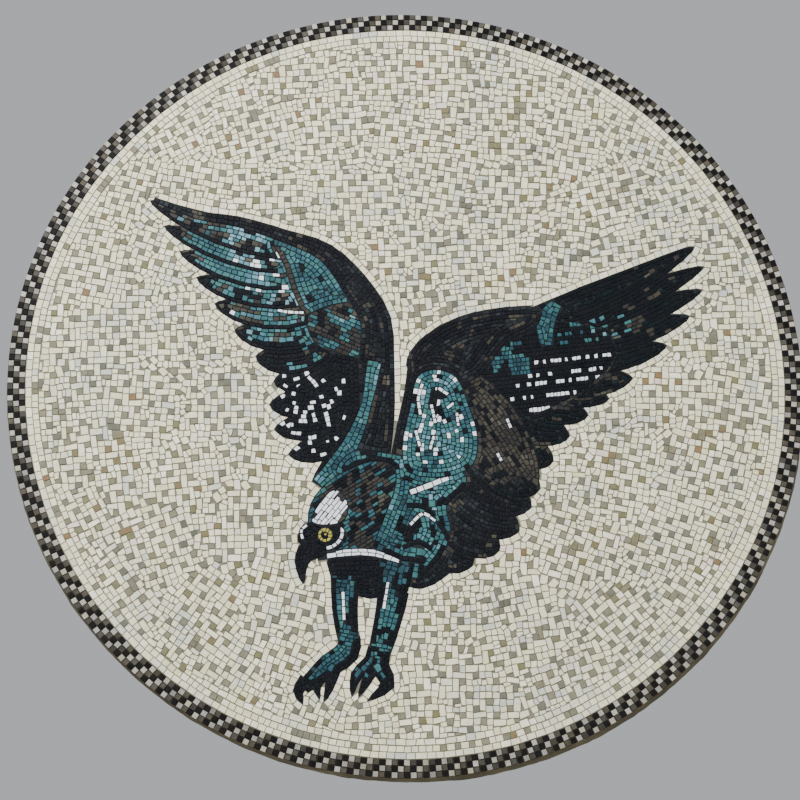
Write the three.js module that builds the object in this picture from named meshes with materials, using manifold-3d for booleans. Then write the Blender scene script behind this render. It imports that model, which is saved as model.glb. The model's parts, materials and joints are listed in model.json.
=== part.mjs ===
// A round mosaic wall panel, about 1.1 m across: stone tesserae on a mortar slab, with a
// three-course chequered border, a pale ground and a bird of prey coming down to land.
//
// Millimetres. X runs right and Z up across the panel, and the face looks towards -Y. The
// back lies in the plane y = 0, with the origin at its centre, where the wall is.
// Everything is drawn flat first, in panel coordinates (right, up, out from the wall), and
// is turned to the row's axes when its mesh is made. The tesserae lie flush in one face, so
// each solid is one course of the border, one feather or one area of the picture.

import Module from 'manifold-3d';
import * as THREE from 'three';
import { mergeVertices } from 'three/addons/utils/BufferGeometryUtils.js';

// Driving dimensions
const PANEL_RADIUS = 560;
const SLAB = 12; // thickness of the mortar slab
const TESSERA = 10; // height of the tesserae on it
const FACE = SLAB + TESSERA;
const JOINT = 1.2; // gap between two areas of tesserae
const BORDER = 25; // width of the three border courses together
const BORDER_COURSES = 3;
const GROUND_COURSE = 9.1; // pitch of the pale ground's rows
const EDGE_COURSES = 2; // rows of the ground that follow the border
const ROUND_SIDES = 68; // flats on each circle of the panel: six border tesserae to a flat
const EYE_SIDES = 12;
const FEATHER_STEPS = 8; // steps along a feather
const BAND_STEPS = 3; // steps between two points of a band's spine
const AREA_STEPS = 3; // steps between two points of a rounded area
const MITRE_LIMIT = 2; // longest corner of a grown outline, in gaps
const SAME_POINT = 0.6; // points closer than this are one

// Finishes
const stone = (colour) =>
  new THREE.MeshStandardMaterial({ color: colour, roughness: 0.65, metalness: 0 });
const FINISH = {
  mortar: new THREE.MeshStandardMaterial({ color: '#8d8468', roughness: 0.95, metalness: 0 }),
  cream: stone('#dcd9c8'),
  chequer: stone('#6e675f'),
  ink: stone('#1b1c20'),
  teal: stone('#3a7776'),
  brown: stone('#43392f'),
  white: stone('#dfe3ea'),
  iris: stone('#a8a050'),
};

// The picture, in panel coordinates, from what lies over to what it covers. An area is
// closed through a few points, a band has full widths at even steps along its spine, and a
// fan's feathers have their roots and tips along two curves, the first feather over the last.
const PICTURE = [
  piece('eye', 'iris', round([-113, -227], 10)),
  piece('beak', 'ink', band([[-112, -247], [-134, -248], [-145, -267], [-142, -297]], [18, 30, 17, 0])),
  piece('cheek', 'white', band([[-122, -260], [-86, -252], [-46, -252], [-10, -264]], [4, 9, 9, 4])),
  piece('crown', 'white', area([
    [-131, -208], [-120, -182], [-100, -163], [-84, -178], [-86, -204], [-106, -212],
  ])),
  piece('mask', 'ink', area([
    [-150, -236], [-143, -214], [-122, -209], [-98, -211], [-84, -226], [-96, -246], [-128, -244],
  ])),
  piece('nape', 'brown', area([
    [-136, -212], [-131, -180], [-111, -154], [-82, -135], [-46, -122], [-20, -128], [-16, -154],
    [-30, -196], [-42, -228], [-54, -252], [-104, -256], [-128, -248],
  ])),
  piece('left_foot', 'teal',
    band([[-78, -366], [-82, -390], [-108, -410], [-140, -438]], [26, 32, 30, 17]),
    band([[-136, -428], [-147, -443], [-141, -461]], [20, 13, 0]),
    band([[-116, -422], [-122, -438], [-118, -454]], [15, 9, 0]),
    band([[-99, -408], [-105, -436], [-112, -458]], [22, 11, 0])),
  piece('right_foot', 'teal',
    band([[-38, -384], [-41, -402], [-42, -420]], [28, 32, 24]),
    band([[-50, -402], [-69, -422], [-75, -451]], [16, 14, 0]),
    band([[-44, -408], [-56, -430], [-66, -451]], [18, 11, 0]),
    band([[-38, -408], [-27, -434], [-54, -456]], [24, 18, 0])),
  piece('left_shin', 'teal', band([[-85, -284], [-85, -330], [-80, -374]], [38, 33, 26])),
  piece('right_shin', 'teal', band([[-14, -262], [-22, -326], [-38, -392]], [48, 38, 28])),
  piece('breast', 'ink', area([
    [-108, -258], [-70, -254], [-30, -260], [-26, -290], [-42, -314], [-74, -308], [-100, -290],
  ])),

  piece('shoulder', 'teal', area([
    [16, 2], [38, 12], [68, 2], [86, -40], [98, -84], [92, -124], [56, -142], [2, -136], [-6, -104],
    [6, -40],
  ])),
  piece('neck', 'teal', area([
    [-98, -136], [-74, -108], [-20, -112], [18, -120], [74, -128], [82, -154], [54, -184],
    [60, -222], [32, -274], [-4, -290], [-48, -262], [-60, -200],
  ])),
  piece('near_wing_arm', 'ink',
    area([
      [0, 20], [14, 50], [56, 82], [112, 101], [190, 104], [184, 80], [140, 54], [102, 4],
      [60, -10], [18, -8],
    ]),
    band([[14, 36], [4, -20], [-6, -70], [-15, -118]], [20, 13, 14, 15])),
  piece('near_wing_bar', 'teal', band([[214, 112], [197, 86], [199, 50]], [16, 27, 15])),
  ...fan('tertial', 'brown', {
    count: 3,
    roots: [[77, 8], [70, -24], [60, -66]],
    tips: [[180, -158], [156, -156], [120, -148]],
    width: [44, 40],
    bow: [14, 8],
    blunt: [4, 4],
  }),
  piece('near_wing_coverts', 'ink', area([
    [72, 10], [116, 60], [198, 86], [284, 70], [296, 38], [262, -4], [216, -34], [168, -54],
    [126, -52], [92, -20],
  ])),
  ...fan('near_wing_primary', 'ink', {
    count: 6,
    roots: [[158, 80], [160, 66], [160, 28]],
    tips: [[414, 201], [462, 130], [318, 3]],
    width: [50, 62],
    bow: [-10, -14],
    blunt: [2.2, 3],
  }),
  ...fan('near_wing_secondary', 'ink', {
    count: 5,
    roots: [[150, 20], [118, -30], [104, -110]],
    tips: [[284, -28], [220, -72], [184, -160]],
    width: [58, 58],
    bow: [-8, -4],
    blunt: [3, 5],
  }),
  ...fan('tail_feather', 'ink', {
    count: 4,
    roots: [[76, -140], [50, -190], [36, -236]],
    tips: [[172, -184], [154, -240], [88, -270]],
    width: [60, 56],
    bow: [-4, 2],
    blunt: [5, 5],
  }),
  piece('belly', 'ink', area([
    [44, -130], [92, -96], [140, -130], [128, -190], [98, -240], [62, -276], [22, -300], [-8, -292],
    [16, -262], [30, -200],
  ])),

  piece('far_wing_stripe', 'teal',
    band([[-46, 24], [-57, -40], [-80, -100], [-120, -158]], [20, 13, 22, 27])),
  piece('far_wing_edge', 'ink',
    band([
      [-362, 264], [-300, 241], [-240, 231], [-174, 210], [-116, 186], [-74, 138], [-44, 84], [-43, 20],
    ], [4, 11, 14, 18, 26, 38, 42, 48]),
    band([[-44, 30], [-42, -30], [-43, -74], [-50, -134]], [50, 48, 46, 46])),
  piece('far_wing_wrist', 'brown', area([
    [-140, 88], [-108, 106], [-62, 110], [-30, 80], [-30, 36], [-92, 34], [-130, 52],
  ])),
  piece('far_wing_coverts', 'teal', area([
    [-190, 204], [-140, 196], [-98, 172], [-68, 128], [-72, 96], [-142, 94], [-160, 124], [-174, 166],
  ])),
  ...fan('far_wing_primary', 'teal', {
    count: 7,
    roots: [[-130, 188], [-104, 140], [-110, 56]],
    tips: [[-368, 262], [-306, 146], [-212, 30]],
    width: [50, 50],
    bow: [12, 14],
    blunt: [2.4, 4.5],
  }),
  piece('far_wing_underside', 'ink', area([
    [-156, 34], [-104, 54], [-54, 54], [-40, -30], [-60, -110], [-96, -126], [-112, -70],
    [-128, -16], [-150, 10],
  ])),
  ...fan('far_wing_secondary', 'ink', {
    count: 5,
    roots: [[-84, 8], [-82, -50], [-86, -104]],
    tips: [[-186, -6], [-210, -74], [-130, -150]],
    width: [50, 40],
    bow: [6, 8],
    blunt: [5, 3],
  }),
];

function piece(name, finish, ...outlines) {
  return { name, finish, outlines: outlines.map(anticlockwise) };
}

/** The width of a band at t, from 0 to 1, between full widths given at even steps. */
function widthAt(widths, t) {
  const place = t * (widths.length - 1);
  const step = Math.min(Math.floor(place), widths.length - 2);
  return THREE.MathUtils.lerp(widths[step], widths[step + 1], place - step);
}

/** The outline either side of a curve at some stations t, where its half width is half(t). */
function outlineAlong(curve, stations, half) {
  const left = [];
  const right = [];
  for (const t of stations) {
    const centre = curve.getPoint(t);
    const across = curve.getTangent(t).rotateAround(new THREE.Vector2(), Math.PI / 2);
    left.push(centre.clone().addScaledVector(across, half(t)));
    right.push(centre.clone().addScaledVector(across, -half(t)));
  }
  return [...left, ...right.reverse()];
}

function vectors(points) {
  return points.map(([right, up]) => new THREE.Vector2(right, up));
}

function evenSteps(count) {
  return Array.from({ length: count + 1 }, (_, i) => i / count);
}

function band(spine, widths) {
  const stations = evenSteps(BAND_STEPS * (spine.length - 1));
  return outlineAlong(
    new THREE.SplineCurve(vectors(spine)), stations, (t) => widthAt(widths, t) / 2,
  );
}

function area(points) {
  const nodes = points.map(([right, up]) => new THREE.Vector3(right, up, 0));
  const curve = new THREE.CatmullRomCurve3(nodes, true, 'centripetal');
  const around = curve.getPoints(points.length * AREA_STEPS).slice(0, -1);
  return around.map((p) => new THREE.Vector2(p.x, p.y));
}

function round([right, up], radius) {
  return circle(radius, EYE_SIDES).map((p) => p.add(new THREE.Vector2(right, up)));
}

/** One feather: it widens from its root to the middle and closes in a blunt or sharp tip. */
function feather(root, tip, width, bow, blunt) {
  const along = tip.clone().sub(root);
  const across = new THREE.Vector2(-along.y, along.x).normalize();
  const middle = root.clone().addScaledVector(along, 0.5).addScaledVector(across, 2 * bow);
  const axis = new THREE.QuadraticBezierCurve(root, middle, tip);
  const half = (t) => {
    const opening = 0.6 + 0.4 * Math.sin((Math.PI / 2) * Math.min(1, 2 * t));
    return (width / 2) * opening * (1 - t ** blunt) ** 0.7;
  };
  const closerToTheTip = evenSteps(FEATHER_STEPS).map((t) => Math.sin((Math.PI / 2) * t));
  return outlineAlong(axis, closerToTheTip, half);
}

function fan(name, finish, { count, roots, tips, width, bow, blunt }) {
  const rootLine = new THREE.QuadraticBezierCurve(...vectors(roots));
  const tipLine = new THREE.QuadraticBezierCurve(...vectors(tips));
  return Array.from({ length: count }, (_, i) => {
    const t = i / (count - 1);
    const at = ([first, last]) => THREE.MathUtils.lerp(first, last, t);
    const outline = feather(rootLine.getPoint(t), tipLine.getPoint(t), at(width), at(bow), at(blunt));
    return piece(`${name}_${i + 1}`, finish, outline);
  });
}

/** The outline without repeated points, anticlockwise. */
function anticlockwise(outline) {
  const kept = outline.filter((p, i) => {
    const before = outline[(i + outline.length - 1) % outline.length];
    return p.distanceTo(before) > SAME_POINT;
  });
  return THREE.ShapeUtils.isClockWise(kept) ? kept.reverse() : kept;
}

/** The outline moved outwards by a distance, with its sharpest corners held back. */
function grown(outline, distance) {
  const count = outline.length;
  const outward = (a, b) => new THREE.Vector2(b.y - a.y, a.x - b.x).normalize();
  return outline.map((p, i) => {
    const before = outward(outline[(i + count - 1) % count], p);
    const after = outward(p, outline[(i + 1) % count]);
    const mitre = Math.min(MITRE_LIMIT, 1 / Math.max(0.05, (1 + before.dot(after)) / 2));
    const middle = before.add(after).multiplyScalar(0.5);
    return p.clone().addScaledVector(middle, distance * mitre);
  });
}

function circle(radius, sides = ROUND_SIDES) {
  return Array.from({ length: sides }, (_, i) => {
    const turn = (2 * Math.PI * i) / sides;
    return new THREE.Vector2(radius * Math.cos(turn), radius * Math.sin(turn));
  });
}

const wasm = await Module();
wasm.setup();

/** A flat plate with this outline, from one height above the wall to another. */
function plate(outline, low, high) {
  const drawn = new THREE.ExtrudeGeometry(new THREE.Shape(outline), {
    depth: high - low, bevelEnabled: false, curveSegments: 1,
  });
  drawn.deleteAttribute('normal');
  drawn.deleteAttribute('uv');
  drawn.translate(0, 0, low);
  const joined = mergeVertices(drawn);
  return new wasm.Manifold(new wasm.Mesh({
    numProp: 3,
    vertProperties: joined.attributes.position.array,
    triVerts: Uint32Array.from(joined.index.array),
  }));
}

const disc = (radius, low, high) => plate(circle(radius), low, high);
const ring = (outer, inner) => disc(outer, SLAB, FACE).subtract(disc(inner, SLAB - 1, FACE + 1));

const joined = (solids) => solids.reduce((whole, solid) => whole.add(solid));

/** The largest of a solid's separate bodies: what is cut off beyond a feather is dropped. */
function largestBody(solid) {
  const bodies = solid.decompose();
  return bodies.reduce((best, body) => (body.volume() > best.volume() ? body : best));
}

/** A named mesh of the solid, turned so that "up" is +Z and "out from the wall" is -Y. */
function asMesh(name, solid, finish) {
  const { vertProperties, triVerts } = solid.getMesh();
  const position = new Float32Array(vertProperties.length);
  for (let i = 0; i < vertProperties.length; i += 3) {
    const [right, up, out] = vertProperties.subarray(i, i + 3);
    position.set([right, -out, up], i);
  }
  const geometry = new THREE.BufferGeometry();
  geometry.setAttribute('position', new THREE.BufferAttribute(position, 3));
  geometry.setIndex(new THREE.BufferAttribute(Uint32Array.from(triVerts), 1));
  geometry.computeVertexNormals();
  const mesh = new THREE.Mesh(geometry, FINISH[finish]);
  mesh.name = name;
  return mesh;
}

function borderMeshes() {
  const pitch = BORDER / BORDER_COURSES;
  return Array.from({ length: BORDER_COURSES }, (_, i) => {
    const outer = PANEL_RADIUS - i * pitch - JOINT / 2;
    return asMesh(`border_course_${i + 1}`, ring(outer, outer - pitch + JOINT), 'chequer');
  });
}

/** The picture's pieces, each cut back by a joint's width from those that lie over it. */
function pictureSolids() {
  let over = null;
  const solids = PICTURE.map(({ name, finish, outlines }) => {
    const whole = joined(outlines.map((outline) => plate(outline, SLAB, FACE)));
    const clear = joined(outlines.map((outline) => plate(grown(outline, JOINT), SLAB - 1, FACE + 1)));
    const body = over ? largestBody(whole.subtract(over)) : whole;
    over = over ? over.add(clear) : clear;
    return { name, finish, body };
  });
  return { solids, over };
}

function build() {
  const panel = new THREE.Group();
  const { solids, over } = pictureSolids();

  const edgeOuter = PANEL_RADIUS - BORDER - JOINT / 2;
  const edgeInner = edgeOuter - EDGE_COURSES * GROUND_COURSE + JOINT;
  const ground = disc(edgeInner - JOINT, SLAB, FACE).subtract(over);

  panel.add(asMesh('mortar_slab', disc(PANEL_RADIUS, 0, SLAB), 'mortar'));
  panel.add(...borderMeshes());
  panel.add(asMesh('ground_edge', ring(edgeOuter, edgeInner), 'cream'));
  panel.add(asMesh('ground', largestBody(ground), 'cream'));
  panel.add(...solids.map(({ name, finish, body }) => asMesh(name, body, finish)));
  return panel;
}

export default build();
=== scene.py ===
"""A round stone mosaic wall panel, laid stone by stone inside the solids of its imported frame.

Each solid's face is an area of the mosaic. Its outline is read from the frame, and stones are
set out in it in millimetres, across (x) and up (z): courses that follow the outline, a pinwheel
of oblongs and small squares on the ground, and small chips where a gap is left. Neighbours are
then trimmed against each other, so that a joint of even width stays between them. A Geometry
Nodes tree cuts the flat shapes into stones, and another sets the chequered border.
"""

import json
import math
from collections import Counter

import bpy
import numpy as np
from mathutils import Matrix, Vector
from mathutils.geometry import tessellate_polygon


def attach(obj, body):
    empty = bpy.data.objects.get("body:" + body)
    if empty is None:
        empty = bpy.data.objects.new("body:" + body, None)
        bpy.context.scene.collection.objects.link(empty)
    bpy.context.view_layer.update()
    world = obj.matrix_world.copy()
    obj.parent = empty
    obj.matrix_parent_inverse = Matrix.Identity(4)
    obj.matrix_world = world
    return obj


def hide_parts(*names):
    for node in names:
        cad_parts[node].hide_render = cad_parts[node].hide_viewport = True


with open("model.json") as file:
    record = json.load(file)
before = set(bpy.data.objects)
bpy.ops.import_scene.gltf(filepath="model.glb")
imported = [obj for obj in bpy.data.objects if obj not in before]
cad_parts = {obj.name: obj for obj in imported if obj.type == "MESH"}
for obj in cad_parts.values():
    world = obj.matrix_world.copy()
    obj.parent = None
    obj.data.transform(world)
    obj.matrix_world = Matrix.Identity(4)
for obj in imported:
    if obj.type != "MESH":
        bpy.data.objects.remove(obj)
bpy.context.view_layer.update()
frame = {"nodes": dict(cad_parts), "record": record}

MM = 0.001

# The panel, in millimetres
RADIUS = 560.0
FACE = 22.0  # the stones' faces above the wall
SHOWN = 4.0  # how much of a stone is modelled: the rest is in the bed
ARRIS = 0.4  # the worn edge round a stone's face
JOINT = 0.8
BED = 20.9  # the bed's surface between the stones, wiped nearly flush
BORDER = 25.0
BORDER_COURSES = 3
BORDER_STONES = 408  # in a course
RIM = 2.2  # how far the bed stands beyond the border
SLUMP = 3.4  # how much further it stands where it has slumped
SLUMP_TOWARDS = math.radians(-48)

# The ground
GROUND_PITCH = 9.1
GROUND_REACH = 540.0  # where the pinwheels end, under the courses beside the border
PATCH = 118.0  # across a patch that is laid in one go

# The laying
TRACED = 1.2  # between the points that a course is traced with
SHORTEST = 2.2  # a laid stone and its joint, lengthways
SHARPEST = 0.55  # the cosine of the turn at which a course breaks, 57 degrees
CHIP = 3.0  # the smallest gap that gets a chip, from its middle to its edge
GROWTH = 1.8  # how far a stone is cut larger than set out, to close up with its neighbours
DEEP = 2.6  # an overlap past which one of two stones may be left out
INLAID = 2  # how firmly a stroke's stones are placed: all others give way to them

chance = np.random.default_rng(41)


# ---------------------------------------------------------------- areas of the mosaic


def turned(vectors):
    """The vectors turned a quarter to the left."""
    return np.stack([-vectors[..., 1], vectors[..., 0]], axis=-1)


def drift(x, z, size, seed):
    """A smooth random value from 0 to 1 that changes over about `size` millimetres."""
    grid = np.random.default_rng(seed).random((64, 64))
    u, v = np.asarray(x, float) / size, np.asarray(z, float) / size
    i, j = np.floor(u).astype(int), np.floor(v).astype(int)
    u, v = u - i, v - j
    u, v = u * u * (3 - 2 * u), v * v * (3 - 2 * v)
    low = grid[i % 64, j % 64] * (1 - u) + grid[(i + 1) % 64, j % 64] * u
    high = grid[i % 64, (j + 1) % 64] * (1 - u) + grid[(i + 1) % 64, (j + 1) % 64] * u
    return np.clip(0.5 + 1.5 * (low * (1 - v) + high * v - 0.5), 0, 0.9999)


def front_loops(node):
    """The outlines of a solid's front face, each with the inside on its left."""
    mesh = node.data
    co = np.empty(len(mesh.vertices) * 3, np.float32)
    mesh.vertices.foreach_get("co", co)
    corners = np.empty(len(mesh.loops), np.int32)
    mesh.loops.foreach_get("vertex_index", corners)
    faces = (co.reshape(-1, 3) / MM)[corners.reshape(-1, 3)]
    front = faces[(faces[:, :, 1] < 0.05 - FACE).all(axis=1)][:, :, [0, 2]].round(2)
    edges = Counter()
    for a, b, c in [tuple(map(tuple, face)) for face in front.tolist()]:
        for start, end in ((a, b), (b, c), (c, a)):
            if edges[end, start]:
                edges[end, start] -= 1
            elif start != end:
                edges[start, end] += 1
    follow = {}
    for (start, end), times in edges.items():
        if times:
            follow.setdefault(start, []).extend([end] * times)
    loops = []
    while follow:
        loop = [next(iter(follow))]
        while loop[-1] in follow:
            after = follow[loop[-1]]
            step = after.pop()
            if not after:
                del follow[loop[-1]]
            if step == loop[0]:
                break
            loop.append(step)
        if len(loop) > 2:
            loops.append(np.array(loop))
    return loops


class Area:
    """One area of the mosaic, inside the outline of a solid's front face."""

    def __init__(self, name, node):
        self.name = name
        self.loops = front_loops(node)
        self.start = np.vstack(self.loops)
        self.end = np.vstack([np.roll(loop, -1, axis=0) for loop in self.loops])
        self.low, self.high = self.start.min(axis=0), self.start.max(axis=0)

    def depth(self, points):
        """How deep inside the outline points lie (negative outside) and the nearest segment."""
        along = self.end - self.start
        square = np.maximum((along**2).sum(axis=1), 1e-9)
        depths, nearest = [], []
        for block in np.array_split(points, 1 + len(points) * len(along) // 1_500_000):
            offset = block[:, None] - self.start[None]
            t = np.clip((offset * along).sum(axis=2) / square, 0, 1)
            gap = ((offset - t[..., None] * along) ** 2).sum(axis=2)
            near = gap.argmin(axis=1)
            above = self.start[:, 1] > block[:, 1:2]
            crosses = above != (self.end[:, 1] > block[:, 1:2])
            rise = np.where(along[:, 1] == 0, 1e-9, along[:, 1])
            left = offset[..., 0] < along[:, 0] * offset[..., 1] / rise
            inside = (crosses & left).sum(axis=1) % 2 == 1
            distance = np.sqrt(gap[np.arange(len(block)), near])
            depths.append(np.where(inside, distance, -distance))
            nearest.append(near)
        return np.concatenate(depths), np.concatenate(nearest)

    def outward(self, segment):
        along = self.end[segment] - self.start[segment]
        return -turned(along) / max(np.hypot(*along), 1e-9)


# ---------------------------------------------------------------- setting out


class Stone:
    """One tessera as it is set out: where it lies, its half sizes and how firmly it is placed."""

    def __init__(self, area, middle, along, long, wide, course=0, firm=0, kind=None):
        self.area = area
        self.middle = np.array(middle, float)
        self.along = np.array(along, float) / max(np.hypot(*along), 1e-9)
        self.long, self.wide = long, wide
        self.course, self.firm, self.kind = course, firm, kind
        self.reach = math.hypot(long, wide)
        self.tone = None
        self.shape = None

    def cut(self, worn):
        """Its corners as a hammer leaves them, a little inside the true oblong."""
        across = turned(self.along)
        self.shape = [
            self.middle
            + (self.long - chance.uniform(0, worn)) * s * self.along
            + (self.wide - chance.uniform(0, worn)) * t * across
            for s, t in ((-1, -1), (1, -1), (1, 1), (-1, 1))
        ]


def distances(path):
    """How far along a path each of its points lies."""
    return np.concatenate([[0], np.cumsum(np.hypot(*np.diff(path, axis=0).T))])


def found_at(path, run, places):
    """The points of a path at some distances along it."""
    return np.stack([np.interp(places, run, path[:, k]) for k in (0, 1)], axis=-1)


def traced(points, closed=False):
    """Points at even steps along a path."""
    path = np.vstack([points, points[:1]]) if closed else np.asarray(points, float)
    run = distances(path)
    count = max(2, int(round(run[-1] / TRACED)) + 1)
    out = found_at(path, run, np.linspace(0, run[-1], count))
    return out[:-1] if closed else out


def curved(points, steps=12):
    """A smooth path through a few points."""
    p = np.asarray(points, float)
    p = np.vstack([2 * p[0] - p[1], p, 2 * p[-1] - p[-2]])
    t = np.linspace(0, 1, steps, endpoint=False)[:, None]
    spans = []
    for a, b, c, d in zip(p, p[1:], p[2:], p[3:]):
        bend, twist = 2 * a - 5 * b + 4 * c - d, 3 * b - a - 3 * c + d
        spans.append(0.5 * (2 * b + (c - a) * t + bend * t**2 + twist * t**3))
    return np.vstack([*spans, p[-2:-1]])


def runs(line, kept):
    """The unbroken stretches of a closed line, and whether each is the whole of it. It breaks
    where points are dropped, where it turns sharply, and where they are too far apart or near."""
    count = len(line)
    after = np.roll(np.arange(count), -1)
    hop = line[after] - line
    size = np.maximum(np.hypot(*hop.T), 1e-9)
    bend = (hop * hop[after]).sum(axis=1) / (size * size[after])
    broken = ~kept | ~kept[after] | (size > 2.6 * TRACED) | (size < 0.05 * TRACED)
    broken |= bend < SHARPEST
    if not broken.any():
        return [(line, True)]
    breaks = np.flatnonzero(broken)
    found = []
    for first, last in zip(breaks, np.roll(breaks, -1)):
        index = np.arange(first + 1, last + 1 + (count if last <= first else 0)) % count
        if len(index) > 1 and kept[index].all():
            found.append((line[index], False))
    return found


def laid_along(area, path, length, width, closed=False, **how):
    """Stones end to end along a path, with lengths that vary as hand-cut ones do."""
    size = np.hypot(*np.diff(path, axis=0).T).sum()
    if closed:
        size += np.hypot(*(path[0] - path[-1]))
        path = np.vstack([path, path[:1]])
    count = int(round(size / length))
    if count == 0:
        if size < 0.45 * length:
            return []
        count = 1
    share = chance.uniform(0.78, 1.22, count)
    ends = np.concatenate([[0], np.cumsum(share)]) / share.sum() * size
    run = distances(path)
    first, last = found_at(path, run, ends[:-1]), found_at(path, run, ends[1:])
    middle = found_at(path, run, (ends[:-1] + ends[1:]) / 2)
    middle = (middle * 2 + (first + last) / 2) / 3
    return [
        Stone(area, m, b - a, np.hypot(*(b - a)) / 2 - JOINT / 2, (width - JOINT) / 2, **how)
        for m, a, b in zip(middle, first, last)
        if np.hypot(*(b - a)) > SHORTEST
    ]


def followed(area, widths, length, courses=99, wanted=None):
    """Courses of stones that follow an area's outline inwards. The last width repeats."""
    stones, depth = [], 0.0
    for course in range(courses):
        width = widths[min(course, len(widths) - 1)]
        level = depth + width / 2
        laid = []
        for loop in area.loops:
            edge = traced(loop, closed=True)
            inward = turned(np.roll(edge, -2, axis=0) - np.roll(edge, 2, axis=0))
            inward /= np.maximum(np.hypot(*inward.T), 1e-9)[:, None]
            line = edge + inward * level
            kept = area.depth(line)[0] > level - 0.16 * width  # a course may squeeze a little
            if wanted is not None:
                kept &= wanted(line)
            for stretch, closed in runs(line, kept):
                laid += laid_along(area, stretch, length, width, closed, course=course)
        if not laid:
            break
        clear = []
        for stone in laid:
            gaps = [np.hypot(*(stone.middle - other.middle)) for other in stones + clear]
            if min(gaps, default=math.inf) > 0.6 * width:  # not on top of another
                clear.append(stone)
        stones += clear
        depth += width
    return stones


def rows(area, direction, width, length):
    """Straight courses of long stones, each course's ends against the middles of the next."""
    along = np.array([math.cos(math.radians(direction)), math.sin(math.radians(direction))])
    across = turned(along)
    centre = (area.low + area.high) / 2
    half = np.hypot(*(area.high - area.low)) / 2
    stones = []
    for k, v in enumerate(np.arange(-half, half, width)):
        first = centre + across * v - along * (half + (k % 2) * length / 2)
        path = traced([first, first + along * 2 * half])
        stones += laid_along(area, path, length, width, course=1)
    depth = area.depth(np.array([s.middle for s in stones]))[0]
    return [s for s, d in zip(stones, depth) if d > -0.1 * width]


def ground_turn(x, z):
    """Which way the ground's rows run, in degrees: level in the panel's inner half, and more and
    more with the border outside it, most of all low on the panel."""
    radius = math.hypot(x, z) / RADIUS
    with_border = (math.degrees(math.atan2(z, x)) + 45) % 90 - 45
    pull = min(1.0, max(0.0, (radius - 0.5) / 0.4)) * (0.95 if z < 0 else 0.55)
    return with_border * pull


def patch_middles():
    """The middles of the ground's patches: a staggered grid, pushed about."""
    spots = []
    for row, z in enumerate(np.arange(-GROUND_REACH, GROUND_REACH, 0.87 * PATCH)):
        for x in np.arange(-GROUND_REACH, GROUND_REACH, PATCH):
            spot = np.array([x + (row % 2) * PATCH / 2, z]) + chance.uniform(-30, 30, 2)
            if np.hypot(*spot) < GROUND_REACH:
                spots.append(spot)
    return np.array(spots)


def pinwheel_part(area, part, middle, run, pitch):
    """One part of a pinwheel: the square (0), or an oblong across the rows (1) or along them (2),
    which is often two shorter stones. Now and then one is cut from the other colour."""
    half = (pitch - JOINT) / 2
    if part == 0:
        kind = "tan" if chance.random() > 0.06 else "cream"
        return [Stone(area, middle, run, half - 0.1, half - 0.1, kind=kind)]
    if part == 1:
        run = turned(run)
    kind = "cream" if chance.random() > 0.02 else "tan"
    if chance.random() > 0.55:
        long = pitch - JOINT / 2 - chance.uniform(0, 1.3)
        return [Stone(area, middle, run, long, half, kind=kind)]
    cut_at = chance.normal(0, 1.0)
    pair = []
    for side in (-1, 1):
        long = (pitch + side * cut_at - JOINT) / 2
        place = middle + run * (cut_at + side * (long + JOINT / 2))
        pair.append(Stone(area, place, run, long, half, kind=kind))
    return pair


def pinwheel(area):
    """The ground: small olive squares, each held between oblongs that turn round it.

    It is laid in patches, each a true pinwheel with its own turn and start, slightly drawn.
    """
    spots = patch_middles()
    stones = []
    count = int(1.3 * PATCH / GROUND_PITCH)
    for k, spot in enumerate(spots):
        turn = math.radians(ground_turn(*spot) + chance.uniform(-7, 7))  # the patch's own
        along = np.array([math.cos(turn), math.sin(turn)])
        across = turned(along)
        slip = chance.uniform(0, 5, 2)
        pitch = GROUND_PITCH * chance.uniform(0.985, 1.03)
        for i in range(-count, count):
            for j in range(-count, count):
                part = (i - 2 * j) % 5
                if part > 2:  # covered by an oblong
                    continue
                u, v = i + slip[0] + 0.5 * (part == 2), j + slip[1] + 0.5 * (part == 1)
                middle = spot + (u * along + v * across) * pitch + chance.normal(0, 0.5, 2)
                if np.hypot(*(middle - spot)) > 1.25 * PATCH:
                    continue
                if np.hypot(*middle) > GROUND_REACH - 5:
                    continue
                wobble = 9 * np.sin(middle[::-1] / 21 + k)  # bends the edges between patches
                if np.argmin(np.hypot(*(spots - middle - wobble).T)) != k:
                    continue
                lean = math.radians(chance.normal(0, 3.6))  # the stone's own
                run = along * math.cos(lean) + across * math.sin(lean)
                stones += pinwheel_part(area, part, middle, run, pitch)
    return stones


# ---------------------------------------------------------------- trimming


def clipped(shape, normal, limit):
    """The part of a convex shape where a point's distance along the normal is under the limit."""
    side = [p[0] * normal[0] + p[1] * normal[1] - limit for p in shape]
    if max(side, default=0) <= 0:
        return shape
    out = []
    for k, p in enumerate(shape):
        q = shape[(k + 1) % len(shape)]
        a, b = side[k], side[(k + 1) % len(shape)]
        if a <= 0:
            out.append(p)
        if (a < 0 < b) or (b < 0 < a):
            out.append(p + (q - p) * (a / (a - b)))
    return out


def neighbours(stones, spare=JOINT):
    """Each pair of stones that may touch."""
    cell = 20.0  # more than a stone's length
    home = {}
    for k, stone in enumerate(stones):
        home.setdefault((int(stone.middle[0] // cell), int(stone.middle[1] // cell)), []).append(k)
    around = [(di, dj) for di in (-1, 0, 1) for dj in (-1, 0, 1)]
    pairs = []
    for (i, j), members in home.items():
        near = [n for di, dj in around for n in home.get((i + di, j + dj), ())]
        for k in members:
            x, z = stones[k].middle
            reach = stones[k].reach + spare
            for n in near:
                if n > k:
                    dx, dz = stones[n].middle[0] - x, stones[n].middle[1] - z
                    limit = reach + stones[n].reach
                    if dx * dx + dz * dz < limit * limit:
                        pairs.append((k, n))
    return np.array(pairs)


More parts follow.
